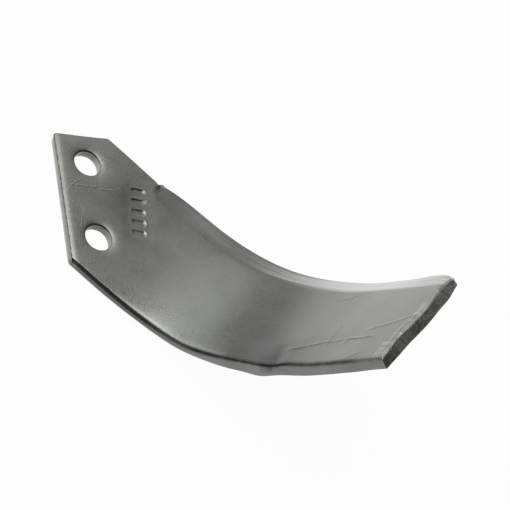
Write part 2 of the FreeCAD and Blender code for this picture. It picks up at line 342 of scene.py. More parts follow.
# 1 on a line of straight stretches, fading smoothly to 0 at its width
def nearLine(u, v, width, points):
    near = 0
    for (uStart, vStart), (uEnd, vEnd) in zip(points[:-1], points[1:]):
        uRun, vRun = uEnd - uStart, vEnd - vStart
        share = np.clip(((u - uStart) * uRun + (v - vStart) * vRun) / (uRun ** 2 + vRun ** 2), 0, 1)
        gap = np.hypot(u - uStart - share * uRun, v - vStart - share * vRun)
        near = np.maximum(near, 1 - rise(gap, 0, width))
    return near


# the small wander that keeps the lines from running straight: two sine waves each way
def wander(u, v):
    uWander = 0.25 * np.sin(0.35 * v + 1) + 0.1 * np.sin(0.9 * v)
    return uWander, 0.25 * np.sin(0.4 * u) + 0.12 * np.sin(1.1 * u + 2)


# how far the wrinkles stand up
def lineHeight(u, v):
    uWander, vWander = wander(u, v)
    return sum(height * nearLine(u + uWander, v + vWander, width, points)
               for width, height, *points in wrinkles.values())


# how far the bend has let the face fall away from its middle towards the long edges
def crownDrop(u, v):
    share = np.clip(v, -44, bevelLine(u) + blade["bevelShoulder"]) / halfWidth
    grown = 0.2 * rise(u, -5, 20) + 0.8 * rise(u, 32, 78) - 0.45 * rise(u, 110, 150)
    return blade["crown"] * (0.5 * share ** 2 + 0.5 * share ** 6) * grown


# the forging lines on the bevel, which run along the cutting edge and wander a little
def bevelRipple(u, v):
    inside = cuttingEdge(u) - v
    ripple = 0.08 * np.sin(1.2 * inside + 0.9 * np.sin(0.045 * u)) * (0.6 + 0.4 * np.sin(0.037 * u + 1))
    ripple = ripple + 0.035 * np.sin(2.1 * inside + 1.3 * np.sin(0.031 * u + 2))
    groove = 0.06 * bell(v - bevelLine(u), 0.4, 0.9) * rise(u, 60, 90) * (1 - rise(u, 125, 150))
    return ripple * rise(v - bevelLine(u), 0, 3) * rise(u, 50, 110) - groove


# height of the inner face, the one that the blade bends towards: half the thickness, with the lines and
# ripples added and all that has sunk taken off
def innerFace(u, v):
    shear = np.clip(shearDistance(u, v), 0, None)
    sunk = bevelDrop(u, v)
    tip = np.clip(tipEnd(v, halfThick - sunk) - u, 0, None)
    jagged = blade["shearRound"] * (1 + 0.35 * np.sin(1.9 * (u - v)) + 0.3 * np.sin(4.3 * (u - v) + 1))
    shearSink, shearReach = blade["shearSink"]
    sheared = shearSink * np.exp(-shear / shearReach) + quarterRound(shear, jagged)
    cut = blade["tipSink"] * (1 - rise(tip, -1.5, tipBand(v))) + quarterRound(tip, blade["tipRound"][0])
    depth, dentAlong, dentAcross = blade["dent"]
    dent = depth * bell(u, *dentAlong) * bell(v, *dentAcross)
    sag = blade["sag"][0] * sagShare(u) * rise(-v, 10, 38)
    wave = 0.07 * np.sin(0.27 * u + 0.11 * v) * np.sin(0.19 * v + 0.8) * rise(u, 135, 160)
    inside = np.clip(v - lowerEdge(u, False) - edgeReach(u, -1), 0, None)
    dip, dipReach = blade["lip"]
    lip = dip * np.exp(-inside / dipReach) * (0.3 + 0.7 * rise(u, 30, 60))
    drop = sunk + holeDrop(u, v) + markDrop(u, v) + sheared + cut + dent + lip + sag + wave
    return halfThick + lineHeight(u, v) + bevelRipple(u, v) - drop - crownDrop(u, v)


# height of the outer face: flat, and only just eased where the steel broke out at the cuts
def outerFace(u, v):
    shear = np.clip(shearDistance(u, v), 0, None)
    tip = np.clip(tipEnd(v, -halfThick) - u, 0, None)
    crown = crownDrop(u, np.minimum(v, 0)) * (0.4 * rise(u, 45, 90) + 0.6 * rise(u, 90, 125))
    sag = blade["sag"][1] * sagShare(u) * rise(-v, 10, 38)
    eased = quarterRound(shear, blade["shearRound"] / 2) + quarterRound(tip, blade["tipRound"][1])
    return eased - crown - sag - halfThick


# how far the bend has turned at a place on the middle line: a half wave from nothing to the full angle
def bendTurn(u):
    share = np.clip((u - blade["bendStart"]) / blade["bendLength"], 0, 1)
    return np.radians(blade["bendAngle"]) * (1 - np.cos(np.pi * share)) / 2


barAlong = np.array([np.cos(barTurn), -np.sin(barTurn), 0])
barAcross = np.array([np.sin(barTurn), np.cos(barTurn), 0])
foldLine = np.array([np.sin(foldTurn), np.cos(foldTurn), 0])
downBar = np.array([np.cos(foldTurn), -np.sin(foldTurn), 0])
upwards = np.array([0.0, 0, 1])

# the middle line after bending, as a running sum of short straight steps
bendTable = np.linspace(blade["bendStart"], 260, 4000)
stepTurn = bendTurn((bendTable[1:] + bendTable[:-1]) / 2)[:, None]
bendSteps = np.cos(foldLean) * (np.cos(stepTurn) * downBar + np.sin(stepTurn) * upwards)
bendSteps = (bendSteps + np.sin(foldLean) * foldLine) * (bendTable[1] - bendTable[0])
bentLine = np.vstack([np.zeros(3), np.cumsum(bendSteps, axis=0)])
bentLine = bentLine + blade["bendStart"] * barAlong + blade["barOffset"] * barAcross + halfThick * upwards


# carries flat points to the bent blade, in metres: along the middle line to the fold line that they
# lie on, then along that fold line, then out along the face's normal
def bend(u, v, w):
    foot = u - (v - blade["barOffset"]) * np.tan(foldLean)
    unbent = foot[..., None] * barAlong + blade["barOffset"] * barAcross + halfThick * upwards
    curved = np.stack([np.interp(foot, bendTable, bentLine[:, k]) for k in range(3)], axis=-1)
    base = np.where((foot < blade["bendStart"])[..., None], unbent, curved)
    turn = bendTurn(foot)[..., None]
    normal = np.cos(turn) * upwards - np.sin(turn) * downBar
    side = ((v - blade["barOffset"]) / np.cos(foldLean))[..., None] * foldLine
    return (base + side + w[..., None] * normal) * mm


# The skin is one grid, round the bar's section one way and along the bar the other way, with a ring
# let in for each hole and a grid across each end.
skin = {
    "fine": 0.62,  # mm between rows, and between columns on the mounting end and the tip
    "coarse": 1.7,  # mm between columns in the bend
    "bend": (40, 155),  # the coarse stretch along the bar
    "firstSteps": (0.15, 0.05),  # mm of the first step beside a long edge and beside an end
    "spacedAt": 17.5,  # v of the line on which the columns are spaced
    "edgeSteps": 16,  # round the profile of a long edge
    "wallRows": 10,  # down the wall of a hole
}


# places from start to end, far apart in the coarse stretch and close together towards both ends
def stations(start, end, coarse, first):
    places = [start]
    while places[-1] < end:
        here = places[-1]
        step = skin["coarse"] if coarse[0] < here < coarse[1] else skin["fine"]
        places.append(here + min(step, first + 0.35 * min(here - start, abs(end - here))))
    places = np.array(places)
    return (places - start) / (places[-1] - start)


firstRow, firstColumn = skin["firstSteps"]
rows = stations(lowSide + edgeReach(0, -1), highSide - edgeReach(0, 1), (0, 0), firstRow)
endOfLine = shearedEnd(np.array([skin["spacedAt"]]), 0)[0]
columns = stations(endOfLine, blade["tipReach"], skin["bend"], firstColumn)
rowCount, columnCount, edgeSteps = len(rows), len(columns), skin["edgeSteps"]
loopCount = 2 * rowCount + 2 * (edgeSteps - 1)


# v and w of the rows of one face, from the lower long edge's profile to the cutting edge's
def facePoints(u, shares, outer):
    low = lowerEdge(u, outer) + edgeReach(u, -1)
    v = low + (cuttingEdge(u) - edgeReach(u, 1) - low) * shares
    return v, outerFace(u, v) if outer else innerFace(u, v)


# v and w round a long edge, from the outer face to the inner one: out and up through both arcs to the
# middle of the edge, then the same way back
def edgePoints(u, steps, side):
    corner, large, meet, height, reach = edgeShape(u, side)
    outerV, innerV = [cuttingEdge(u) if side > 0 else lowerEdge(u, outer) for outer in (True, False)]
    quarter = skin["edgeSteps"] / 4
    step = np.minimum(steps, 4 * quarter - steps) / quarter
    turn = meet * np.clip(step, 0, 1) + (np.pi / 2 - meet) * np.clip(step - 1, 0, 1)
    small = np.minimum(turn, meet)
    out = corner * np.sin(small) + large * (np.sin(turn) - np.sin(small))
    fall = corner * (1 - np.cos(small)) + large * (np.cos(small) - np.cos(turn))
    outerW, innerW = outerFace(u, outerV - side * reach), innerFace(u, innerV - side * reach)
    climb = fall / height * (innerW - outerW) / 2
    v = outerV + (innerV - outerV) * steps / (4 * quarter) + side * (out - reach)
    return v, np.where(steps < 2 * quarter, outerW + climb, innerW - climb)


# v and w right round the section: outer face, cutting edge, inner face, lower edge
def section(u):
    a, b = rowCount, rowCount + edgeSteps - 1
    steps = np.arange(1, edgeSteps)
    parts = [
        facePoints(u[:, :a], rows, True),
        edgePoints(u[:, a:b], steps, 1),
        facePoints(u[:, b:b + a], rows[::-1], False),
        edgePoints(u[:, b + a:], steps[::-1], -1),
    ]
    return np.hstack([part[0] for part in parts]), np.hstack([part[1] for part in parts])


# The grid itself: each line along the bar runs evenly from the sheared end to the cut at the tip.
plainV, plainW = section(np.zeros((1, loopCount)))
lastV, lastW = section(np.full((1, loopCount), blade["tipReach"] - 1))
firstU = shearedEnd(plainV, plainW)
gridU = firstU + (tipEnd(lastV, lastW) - firstU) * columns[:, None]
gridV, gridW = section(gridU)
flatPoints = [np.stack([gridU, gridV, gridW], axis=-1).reshape(-1, 3)]
number = np.arange(columnCount * loopCount).reshape(columnCount, loopCount)
outerNumber = number[:, :rowCount]
innerNumber = number[:, rowCount + edgeSteps - 1:2 * rowCount + edgeSteps - 1][:, ::-1]


# four-cornered faces between neighbouring lines of a grid of point numbers
def quads(lines, flip=False):
    corners = [lines[:-1, :-1], lines[:-1, 1:], lines[1:, 1:], lines[1:, :-1]]
    return np.stack(corners[::-1] if flip else corners, axis=-1).reshape(-1, 4)


# adds a block of points to the skin's, and gives their numbers
def addPoints(points):
    first = sum(len(block) for block in flatPoints)
    flatPoints.append(points.reshape(-1, 3))
    return first + np.arange(points.size // 3).reshape(points.shape[:-1])


# The ring for a hole takes the place of a block of the grid on both faces. Its lines run from the
# block's edge on the inner face in to the rim, down the wall and out again on the outer face.
def holeRing(uHole, vHole):
    u, v = gridU.ravel()[innerNumber], gridV.ravel()[innerNumber]
    clear = holes["ring"] + 0.5
    crossed = np.flatnonzero(np.abs(v[0] - vHole) < clear)
    first, last = crossed[0] - 1, crossed[-1] + 1
    gap = np.hypot(u - uHole, v - vHole)[:, first:last + 1].min(axis=1)
    middle = u[:, (first + last) // 2] - uHole
    start = np.flatnonzero((gap > clear) & (middle < 0))[-1]
    stop = np.flatnonzero((gap > clear) & (middle > 0))[0]
    i = np.concatenate([np.arange(start, stop), np.full(last - first, stop),
                        np.arange(stop, start, -1), np.full(last - first, start)])
    j = np.concatenate([np.full(stop - start, first), np.arange(first, last),
                        np.full(stop - start, last), np.arange(last, first, -1)])
    turn = np.arctan2(v[i, j] - vHole, u[i, j] - uHole)
    edge = np.hypot(v[i, j] - vHole, u[i, j] - uHole)
    radius, tight = holes["radius"], holes["rollOver"]
    share = np.array([0.25, 0.5, 0.75])[:, None]
    outwards = edge + (holes["ring"] - edge) * share
    gaps = np.concatenate([np.linspace(holes["ring"] - radius, tight, 8),
                           tight * (1 - np.sin(np.radians([15, 30, 45, 60, 75, 90])))])
    inRadii = np.vstack([outwards, np.repeat(radius + gaps[:, None], len(turn), axis=1)])
    innerPart = [uHole + inRadii * np.cos(turn), vHole + inRadii * np.sin(turn)]
    innerPart.append(innerFace(*innerPart))
    rim, floor = innerPart[2][-1].mean(), holes["breakOut"] - halfThick
    depth = np.linspace(0, 1, skin["wallRows"])[1:, None]
    torn = np.radians([20, 45, 70, 90])[:, None]
    step = holes["wallStep"]
    wallRadii = np.vstack([radius + step * rise(depth, 0.3, 0.5),
                           radius + step + holes["breakOut"] * (1 - np.cos(torn))])
    wallHeights = np.vstack([rim + (floor - rim) * depth, floor - holes["breakOut"] * np.sin(torn)])
    wobble = 0.05 * np.sin(5 * turn) + 0.04 * np.sin(11 * turn + 1)
    wallRadii = wallRadii + wobble * rise(np.vstack([depth, 1 + torn]), 0.4, 0.9)
    wallPart = [uHole + wallRadii * np.cos(turn), vHole + wallRadii * np.sin(turn), wallHeights + 0 * turn]
    outRadii = radius + holes["breakOut"] + np.array([[0.4], [0.9]])
    outU, outV = uHole + outRadii * np.cos(turn), vHole + outRadii * np.sin(turn)
    edgeU, edgeV = gridU.ravel()[outerNumber[i, j]], gridV.ravel()[outerNumber[i, j]]
    outU = np.vstack([outU, outU[-1] + (edgeU - outU[-1]) * share])
    outV = np.vstack([outV, outV[-1] + (edgeV - outV[-1]) * share])
    outerPart = [outU, outV, outerFace(outU, outV)]
    parts = [np.stack(part, axis=-1) for part in (innerPart, wallPart, outerPart)]
    rings = addPoints(np.vstack(parts))
    rings = np.vstack([innerNumber[i, j], rings, outerNumber[i, j]])
    return np.hstack([rings, rings[:, :1]]), (slice(start, stop), slice(first, last)), len(inRadii)


# The grid across an end is stretched evenly between its four sides: the ends of the two faces and of
# the two long edges. Its points are then moved along the bar onto the cut.
def endCap(line, cut, flip):
    topStart, topEnd = rowCount + edgeSteps - 1, 2 * rowCount + edgeSteps - 1
    low = np.concatenate([line[:1], line[:-edgeSteps:-1], line[topEnd - 1:topEnd]])
    high = line[rowCount - 1:topStart + 1]
    bottom, top = line[:rowCount], line[topStart:topEnd][::-1]
    points = flatPoints[0]
    s, t = np.linspace(0, 1, edgeSteps + 1)[:, None, None], rows[None, :, None]
    even = (1 - s) * points[bottom][None] + s * points[top][None]
    sides = (1 - t) * points[low][:, None] + t * points[high][:, None]
    corners = (1 - s) * ((1 - t) * points[low[0]] + t * points[high[0]])
    corners = corners + s * ((1 - t) * points[low[-1]] + t * points[high[-1]])
    inside = (even + sides - corners)[1:-1, 1:-1]
    inside[..., 0] = cut(inside[..., 1], inside[..., 2])
    cap = np.empty((edgeSteps + 1, rowCount), int)
    cap[0], cap[-1], cap[:, 0], cap[:, -1] = bottom, top, low, high
    cap[1:-1, 1:-1] = addPoints(inside)
    return quads(cap, flip)


# All faces, each with the number of its finish: 0 is the lacquered skin, 1 the sheared sides, 2 the cut
# at the tip and 3 the wall of a hole.
keep = np.ones((columnCount - 1, rowCount - 1), bool)
ringFaces, ringFinish = [], []
for uHole, vHole in holeMiddles:
    ring, block, innerRows = holeRing(uHole, vHole)
    keep[block] = False
    band = np.repeat(np.arange(len(ring) - 1), ring.shape[1] - 1)
    ringFaces.append(quads(ring))
    ringFinish.append(np.where((band > innerRows) & (band < innerRows + skin["wallRows"]), 3, 0))

kept = np.ones((columnCount - 1, loopCount), bool)
kept[:, :rowCount - 1] = keep
kept[:, rowCount + edgeSteps - 1:2 * rowCount + edgeSteps - 2] = keep[:, ::-1]
faces = [quads(np.hstack([number, number[:, :1]]))[kept.ravel()]] + ringFaces
finish = [np.zeros(len(faces[0]), int)] + ringFinish
faces.append(endCap(number[0], shearedEnd, True))
finish.append(np.full(len(faces[-1]), 1))
faces.append(endCap(number[-1], tipEnd, False))
finish.append(np.full(len(faces[-1]), 2))
faces, finish = np.vstack(faces), np.concatenate(finish)
flatPoints = np.vstack(flatPoints)
used, faces = np.unique(faces, return_inverse=True)
flatPoints, faces = flatPoints[used], faces.reshape(-1, 4)

mesh = bpy.data.meshes.new("forgedBlade")
mesh.from_pydata(bend(*flatPoints.T).tolist(), [], faces.tolist())
mesh.polygons.foreach_set("use_smooth", np.ones(len(faces), bool))
mesh.polygons.foreach_set("material_index", finish)
flatBar = mesh.attributes.new("flatBar", "FLOAT_VECTOR", "POINT")
flatBar.data.foreach_set("vector", (flatPoints * mm).astype(np.float32).ravel())

# Painted light and shade on the steel: above 0 it is brighter and below 0 darker. A patch is a bell
# both ways, given by its strength, its middle and reach along the bar, and its middle and reach across it.
tonePatches = {
    "roundTheHoles": (-0.09, 0, 22, 4, 16),
    "rightOfTheUpperHole": (-0.12, 7, 8, 14, 8),
    "besideTheUpperHole": (-0.22, 11, 8, 20, 8),
    "lowInTheBend": (-0.07, 100, 7, -30, 9),
    "pastTheBend": (-0.22, 134, 13, -16, 14),
    "whereItSank": (-0.22, 149, 6, -31, 6),
    "byTheTip": (-0.15, 208, 8, 21, 9),
}
u, v, w = flatPoints.T
plateX, plateY = plateXY(u, v)
onFace = w > 0
paintedLightAndScuffs = sum(strength * bell(u, uMiddle, uReach) * bell(v, vMiddle, vReach)
             for strength, uMiddle, uReach, vMiddle, vReach in tonePatches.values())

# longer patches of painted light and shade: darker left of the marks, lighter right of them, reshaping the
# highlight in the bend, lighter on the bevel there, and lighter on the tip
paintedLightAndScuffs = paintedLightAndScuffs - 0.24 * bell(plateX, 15.5, 7) * rise(plateY, -30, -18) * (1 - rise(plateY, 4, 14))
paintedLightAndScuffs = paintedLightAndScuffs + 0.24 * bell(u, 48, 14) * rise(v, 2, 14)
paintedLightAndScuffs = paintedLightAndScuffs + 0.14 * bell(u, 108, 8) - 0.11 * bell(u, 86, 12) * rise(v, -5, 14)
paintedLightAndScuffs = paintedLightAndScuffs + 0.05 * bell(u, 116, 9) * rise(v, 5, 20)
paintedLightAndScuffs = paintedLightAndScuffs + 0.14 * bell(u, 94, 13) * rise(v, 38, 42)
paintedLightAndScuffs = paintedLightAndScuffs + 0.05 * rise(u, 160, 180) * (1 + rise(v, -12, 5))

# painted highlight along the long sheared side, where the face rolls over, and on the rims of the marks
fromSide = plateX + blade["sideMargin"] + blade["shearFlare"][0]
paintedLightAndScuffs = paintedLightAndScuffs + 0.9 * np.exp(-np.abs(fromSide - 1.9) / 0.9) * rise(fromSide, 0.7, 1.5) * onFace
paintedLightAndScuffs = paintedLightAndScuffs + 0.3 * bell(markGaps(u, v)[0], 0.2, 0.6) * onFace

# the lower edge: painted shade in a dark band just under the face from the bend on, where it folds, which is
# uneven, and wider in places
edgeV = lowerEdge(u, False) + edgeReach(u, -1)
depth = innerFace(u, edgeV) - w
wide = rise(u, 146, 160) + bell(u, 116, 8)
uneven = 1 + 0.12 * np.sin(0.37 * u) * np.sin(0.23 * u + 1) + 0.06 * np.sin(1.1 * u)
foldShade = bell(depth, 0.7 + 0.2 * wide, 0.6 + 0.25 * wide) * uneven * (1 + 0.2 * bell(u, 118, 12))
foldShade = foldShade * rise(u, 84, 104) * (1 - 0.65 * rise(u, 188, 208)) * (v < edgeV + 0.3)
# under it, painted shade dims the edge before the bend and painted light makes it lighter past it, and the
# face's own rim has a painted highlight
dim = (0.4 + 0.35 * (1 - rise(u, -25, 25))) * (1 - rise(u, 60, 95))
light = 0.16 * bell(u, 143, 14) + 0.35 * bell(u, 142, 6)
light = light + 0.08 * rise(u, 148, 162) * (1 - rise(u, 170, 190))
paintedLightAndScuffs = paintedLightAndScuffs - 1.05 * foldShade + (light - dim) * (v < edgeV) * rise(depth, 1, 2.2)
paintedLightAndScuffs = paintedLightAndScuffs + 0.22 * bell(v - edgeV, 1.2, 1.2) * bell(u, 95, 9)

# the holes' walls catch the light on their right, and their rims are dark at the top
for uHole, vHole in holeMiddles:
    x, y = plateXY(u - uHole, v - vHole)
    fromRim, turn = np.hypot(x, y) - holes["radius"], np.arctan2(y, x)
    toRight, toTop = np.cos(turn + np.radians(25)), np.cos(turn - np.radians(105))
    paintedLightAndScuffs = paintedLightAndScuffs + (fromRim < 0.7 * holes["rollOver"]) * (0.3 + 1.4 * rise(toRight, 0.2, 1))
    paintedLightAndScuffs = paintedLightAndScuffs - 0.45 * bell(fromRim, 0.7, 0.7) * rise(toTop, 0.2, 0.9) * onFace

# forging lines show on the bevel and on the band along the cut at the tip, which are also worn bright
softness = 6.5 + 1.5 * (1 - rise(u, 112, 148))
onBevel = rise(v - bevelLine(u), 0.8 * rise(u, 132, 150) - 1.6, softness) * rise(u, 22, 60)
fromTip = tipEnd(v, halfThick) - u
onBand = 1 - rise(fromTip - tipBand(v), -1.2, 0.3)
streaky = 0.55 + 0.45 * np.sin(2.2 * fromTip + 0.8 * np.sin(0.21 * v))
wornShare = 0.55 * rise(u, 30, 52) + 1.35 * rise(u, 112, 160) - rise(u, 176, 212)
wornShare = np.maximum(onBevel * wornShare, 0.8 * onBand * streaky * rise(v, -38.5, -36)) * (w > -1)

# the scale is grainy at the mounting end and along the lower half
grainShare = np.maximum(rise(-u, -12, 4), rise(-v, 12, 30)) * (1 - 0.6 * rise(u, 85, 115))
grainShare = np.maximum(grainShare, 0.8 * rise(v, 14, 28) * (1 - rise(u, 18, 50)))
shares = {"bevelled": np.maximum(onBevel, onBand), "litShadedAndScuffed": paintedLightAndScuffs, "worn": wornShare, "grainy": grainShare}
for name, values in shares.items():
    mesh.attributes.new(name, "FLOAT", "POINT").data.foreach_set("value", values.astype(np.float32))
mesh.update()
forgedBlade = bpy.data.objects.new("forgedBlade", mesh)
bpy.context.scene.collection.objects.link(forgedBlade)
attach(forgedBlade, "root")
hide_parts("tiller_blade")
print("blade:", len(flatPoints), "points,", 2 * len(faces), "triangles")


# Burrs: one thin strip along each scratch and each raised wrinkle. A strip is a closed tube of six
# lines: five arched over the face and one under it. It swells and fades along its length, and both
# ends run to a point.
burr = {
    "step": 0.3,  # mm between its rows
    "wrinkleWidth": 1,
    "wrinkleHeight": 0.06,
    # the burrs carry painted light and shade; a wrinkle's burr has this share of it
    "wrinkleTone": 0.7,  # share of the brightness that a wrinkle's burr has
    "sunk": 0.03,  # how deep its rims lie under the face
    "taper": 2.5,  # mm over which its ends run out
    # the burr's tones paint shade along its lower rim and a highlight along its upper one
    "litShadedAndRubbed": (-0.6, -0.45, 0.5, 1.2, 1, 0),  # tones of its lines, from its lower rim to its upper one
}


# the points of one strip, row by row
def strip(width, height, points):
    corners = np.array(points, float)
    lengths = np.concatenate([[0], np.cumsum(np.hypot(*np.diff(corners, axis=0).T))])
    places = np.linspace(0, lengths[-1], int(lengths[-1] / burr["step"]) + 2)
    u, v = np.interp(places, lengths, corners[:, 0]), np.interp(places, lengths, corners[:, 1])
    uWander, vWander = wander(u, v)
    u, v = u - uWander, v - vWander
    runU, runV = np.gradient(u), np.gradient(v)
    run = np.hypot(runU, runV)
    ends = np.sqrt(np.clip(np.minimum(places, lengths[-1] - places) / burr["taper"], 0.001, 1))
    swell = ends * (0.85 + 0.12 * np.sin(1.3 * places) + 0.08 * np.sin(3.1 * places + 1))
    sides = np.array([-1, -0.5, 0, 0.5, 1, 0]) * width / 2
    arch = np.array([0, 0.6, 1, 0.6, 0, 0]) * height
    below = np.array([1, 0, 0, 0, 1, 2]) * burr["sunk"]
    stripU = u[:, None] - (runV / run * swell)[:, None] * sides
    stripV = v[:, None] + (runU / run * swell)[:, None] * sides
    lift = arch * swell[:, None] - below
    return np.stack([stripU, stripV, innerFace(stripU, stripV) + lift], axis=-1)


stripPoints, stripFaces, burrLitShadedAndRubbed, total = [], [], [], 0
strips = [(width, height, 1, points) for width, height, *points in scratches.values()]
strips += [(burr["wrinkleWidth"], burr["wrinkleHeight"], burr["wrinkleTone"], points)
           for width, height, *points in wrinkles.values() if height > 0]
for width, height, brightness, points in strips:
    piece = strip(width, height, points)
    count, around = piece.shape[:2]
    order = total + np.arange(count * around).reshape(count, around)
    stripPoints.append(piece.reshape(-1, 3))
    burrLitShadedAndRubbed.append(brightness * np.tile(burr["litShadedAndRubbed"], count))
    stripFaces += quads(np.hstack([order, order[:, :1]]), True).tolist()
    stripFaces += [order[0].tolist(), order[-1][::-1].tolist()]
    total += count * around
stripPoints = np.vstack(stripPoints)
burrMesh = bpy.data.meshes.new("burrs")
burrMesh.from_pydata(bend(*stripPoints.T).tolist(), [], stripFaces)
burrMesh.polygons.foreach_set("use_smooth", np.ones(len(stripFaces), bool))
flatBar = burrMesh.attributes.new("flatBar", "FLOAT_VECTOR", "POINT")
flatBar.data.foreach_set("vector", (stripPoints * mm).astype(np.float32).ravel())
burrLitShadedAndRubbed = np.concatenate(burrLitShadedAndRubbed).astype(np.float32)
burrMesh.attributes.new("litShadedAndScuffed", "FLOAT", "POINT").data.foreach_set("value", burrLitShadedAndRubbed)
burrMesh.update()
burrs = bpy.data.objects.new("burrs", burrMesh)
bpy.context.scene.collection.objects.link(burrs)
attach(burrs, "root")
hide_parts("tiller_blade")
print("burrs:", len(strips), "strips,", len(stripFaces), "faces")


# Finishes. Colours are sRGB hex, as a paint chart gives them.
def colour(hexValue):
    parts = np.array([int(hexValue[k:k + 2], 16) for k in (1, 3, 5)]) / 255
    linear = np.where(parts < 0.04045, parts / 12.92, ((parts + 0.055) / 1.055) ** 2.4)
    return (*linear, 1.0)


# adds a node, gives it its own settings and its inputs, and links the inputs that are sockets
def addNode(tree, kind, inputs=None, **settings):
    node = tree.nodes.new(kind if kind.startswith("Node") else "ShaderNode" + kind)
    for setting, value in settings.items():
        setattr(node, setting, value)
    for name, value in (inputs or {}).items():
        if isinstance(value, bpy.types.NodeSocket):
            tree.links.new(value, node.inputs[name])
        else:
            node.inputs[name].default_value = value
    return node


# a material with an empty node tree
def newMaterial(name):
    material = bpy.data.materials.new(name)
    material.use_nodes = True
    material.node_tree.nodes.clear()
    return material, material.node_tree


# the place on the flat bar, in mm
def flatPlace(tree):
    flat = addNode(tree, "Attribute", attribute_name="flatBar").outputs["Vector"]
    return addNode(tree, "VectorMath", {0: flat, "Scale": 1 / mm}, operation="SCALE").outputs[0]


# a finish's uneven patterns, each from about -0.5 to 0.5, by how many there are per mm, their detail
# and their roughness
def unevenness(tree, place, sorts):
    patterns = {}
    for name, (perMm, detail, roughness) in sorts.items():
        look = {"Vector": place, "Scale": perMm, "Detail": detail, "Roughness": roughness}
        uneven = addNode(tree, "TexNoise", look).outputs["Fac"]
        patterns[name] = addNode(tree, "Math", {0: uneven, 1: 0.5}, operation="SUBTRACT").outputs[0]
    return patterns


# a sum of patterns, each times its own weight
def blend(tree, patterns, weights):
    total = 0.0
    for name, weight in weights.items():
        values = {0: patterns[name], 1: weight, 2: total}
        total = addNode(tree, "Math", values, operation="MULTIPLY_ADD").outputs[0]
    return total


# a colour brightened or darkened by a share
def shaded(tree, base, change):
    factor = addNode(tree, "Math", {0: change, 1: 1.0}, operation="ADD").outputs[0]
    return addNode(tree, "VectorMath", {0: base, "Scale": factor}, operation="SCALE").outputs[0]


# Spring steel with forging scale under a thin clear dip of lacquer. To the eye it is grey metal, dim
# and cloudy, with a soft sheen, small specks where the scale has flaked, and bright scuffs, over which
# painted light and shade from the blade's points is laid.
forging = {
    "steel": "#7b7d7a",
    "thickLacquer": "#7b7c78",  # warmer, where the dip ran together at the mounting end
    "thinned": (20, 90),  # mm along the bar between which it thins out
    "roughness": 0.3,
    "coat": (1.0, 0.32),  # the lacquer's weight and roughness
    # Clouds of darker scale, flecks, grain, and specks and pits where the scale has flaked: how many there
    # are per mm, their detail and their roughness. The real grain is finer and wouldn't show.
    "patterns": {"cloud": (1 / 14, 3, 0.6), "fleck": (1 / 2.2, 4, 0.6), "grain": (1 / 0.9, 2, 0.5),
                 "speck": (1 / 1.3, 1, 0.5)},
    "streaks": (60, 2.6),  # the forging lines on the bevel: mm long and mm wide
    "coarse": (0.88, 0.12),  # how strong the grain is where it is coarse, beyond what it is elsewhere
    "speckLevels": (0.24, 0.3),  # where a speck begins, and where it is full
    # how strongly each pattern shows in the tone and in the roughness, and how far in mm it stands up
    "tones": {"cloud": 0.4, "fleck": 0.12, "grain": 0.7, "streak": 2.4, "litShadedAndScuffed": 0.9, "worn": 1.1,
              "speck": 0.5},
    "roughnesses": {"cloud": 0.15, "fleck": 0.25},
    "heights": {"fleck": 0.015, "grain": 0.09, "streak": 0.14},
}


def forgedSteel():
    material, tree = newMaterial("lacqueredForgingScale")
    place = flatPlace(tree)
    patterns = unevenness(tree, place, forging["patterns"])
    length, width = forging["streaks"]
    stretch = {0: place, 1: (1 / length, 1 / width, 1 / width)}
    stretched = addNode(tree, "VectorMath", stretch, operation="MULTIPLY").outputs[0]
    patterns.update(unevenness(tree, stretched, {"streak": (1.0, 2, 0.6)}))
    for name in shares:  # what the blade's mesh carries at its points
        patterns[name] = addNode(tree, "Attribute", attribute_name=name).outputs["Fac"]
    more, least = forging["coarse"]
    coarse = {0: patterns["grainy"], 1: more, 2: least}
    coarse = addNode(tree, "Math", coarse, operation="MULTIPLY_ADD").outputs[0]
    for name, limit in {"grain": coarse, "streak": patterns["bevelled"]}.items():
        limited = {0: patterns[name], 1: limit}
        patterns[name] = addNode(tree, "Math", limited, operation="MULTIPLY").outputs[0]
    low, high = forging["speckLevels"]
    flaked = {"Value": patterns["speck"], "From Min": low, "From Max": high}
    patterns["speck"] = addNode(tree, "MapRange", flaked).outputs[0]
    height = blend(tree, patterns, forging["heights"])
    bump = addNode(tree, "Bump", {"Strength": 1.0, "Distance": mm, "Height": height})
    low, high = forging["thinned"]
    placeAlong = addNode(tree, "SeparateXYZ", {0: place}).outputs["X"]
    thinned = addNode(tree, "MapRange", {"Value": placeAlong, "From Min": low, "From Max": high}).outputs[0]
    shades = {"Factor": thinned, 6: colour(forging["thickLacquer"]), 7: colour(forging["steel"])}
    steel = addNode(tree, "Mix", shades, data_type="RGBA").outputs[2]
    tone = blend(tree, patterns, forging["tones"])
    rough = {0: blend(tree, patterns, forging["roughnesses"]), 1: forging["roughness"]}
    rough = addNode(tree, "Math", rough, operation="ADD").outputs[0]
    coat, coatRoughness = forging["coat"]
    surface = addNode(tree, "BsdfPrincipled", {
        "Base Color": shaded(tree, steel, tone), "Metallic": 1.0, "Roughness": rough,
        "Coat Weight": coat, "Coat Roughness": coatRoughness, "Normal": bump.outputs["Normal"]})
    addNode(tree, "OutputMaterial", {"Surface": surface.outputs["BSDF"]})
    return material


